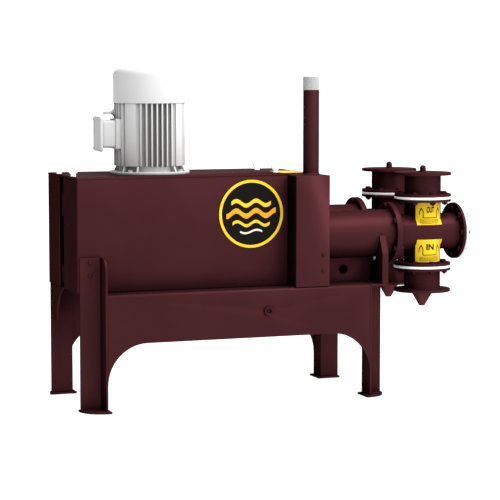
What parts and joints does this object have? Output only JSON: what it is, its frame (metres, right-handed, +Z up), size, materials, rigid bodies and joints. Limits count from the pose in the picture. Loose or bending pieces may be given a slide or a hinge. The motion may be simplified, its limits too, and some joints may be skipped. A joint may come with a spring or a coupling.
{
  "type": "piston pump",
  "caption": "Horizontal twin-cylinder piston pump on a plate frame, with an upright flanged motor, valve bodies with flanged branches, and a vent pipe.",
  "frame": {"origin": "on the floor, under the middle of the machine's overall length and width", "axes": "+X along the cylinders towards the valve bodies, +Y to the rear, +Z up"},
  "size_m": [1.5442, 0.577, 1.243],
  "materials": {
    "maroon_paint": "semi-gloss maroon paint",
    "white_enamel": "satin white paint",
    "grey_plastic": "matt grey plastic",
    "white_gasket": "smooth white sheet"
  },
  "bodies": {
    "root": {"bay_panel_front": "maroon_paint", "bay_panel_rear": "maroon_paint", "bulkhead_box": "maroon_paint", "crank_housing": "maroon_paint", "cylinder_cradle": "maroon_paint", "cylinder_front": "maroon_paint", "cylinder_rear": "maroon_paint", "drip_tray": "maroon_paint", "end_cover_front": "white_gasket", "end_cover_rear": "white_gasket", "end_gusset_rear": "maroon_paint", "fan_cover": "white_enamel", "foot_front_left": "maroon_paint", "foot_front_right": "maroon_paint", "foot_rear_left": "maroon_paint", "foot_rear_right": "maroon_paint", "housing_lid": "maroon_paint", "leg_front_left": "maroon_paint", "leg_front_right": "maroon_paint", "leg_rear_left": "maroon_paint", "leg_rear_right": "maroon_paint", "lower_gasket_front": "white_gasket", "lower_gasket_rear": "white_gasket", "lower_spool_front": "maroon_paint", "lower_spool_rear": "maroon_paint", "motor_flange": "white_enamel", "motor_stator": "white_enamel", "side_rail_front": "maroon_paint", "side_rail_rear": "maroon_paint", "terminal_box": "white_enamel", "terminal_box_lid": "white_enamel", "upper_gasket_front": "white_gasket", "upper_gasket_rear": "white_gasket", "upper_spool_front": "maroon_paint", "upper_spool_rear": "maroon_paint", "valve_body_front": "maroon_paint", "valve_body_rear": "maroon_paint", "vent_cap": "grey_plastic", "vent_pipe": "maroon_paint"}
  },
  "joints": []
}
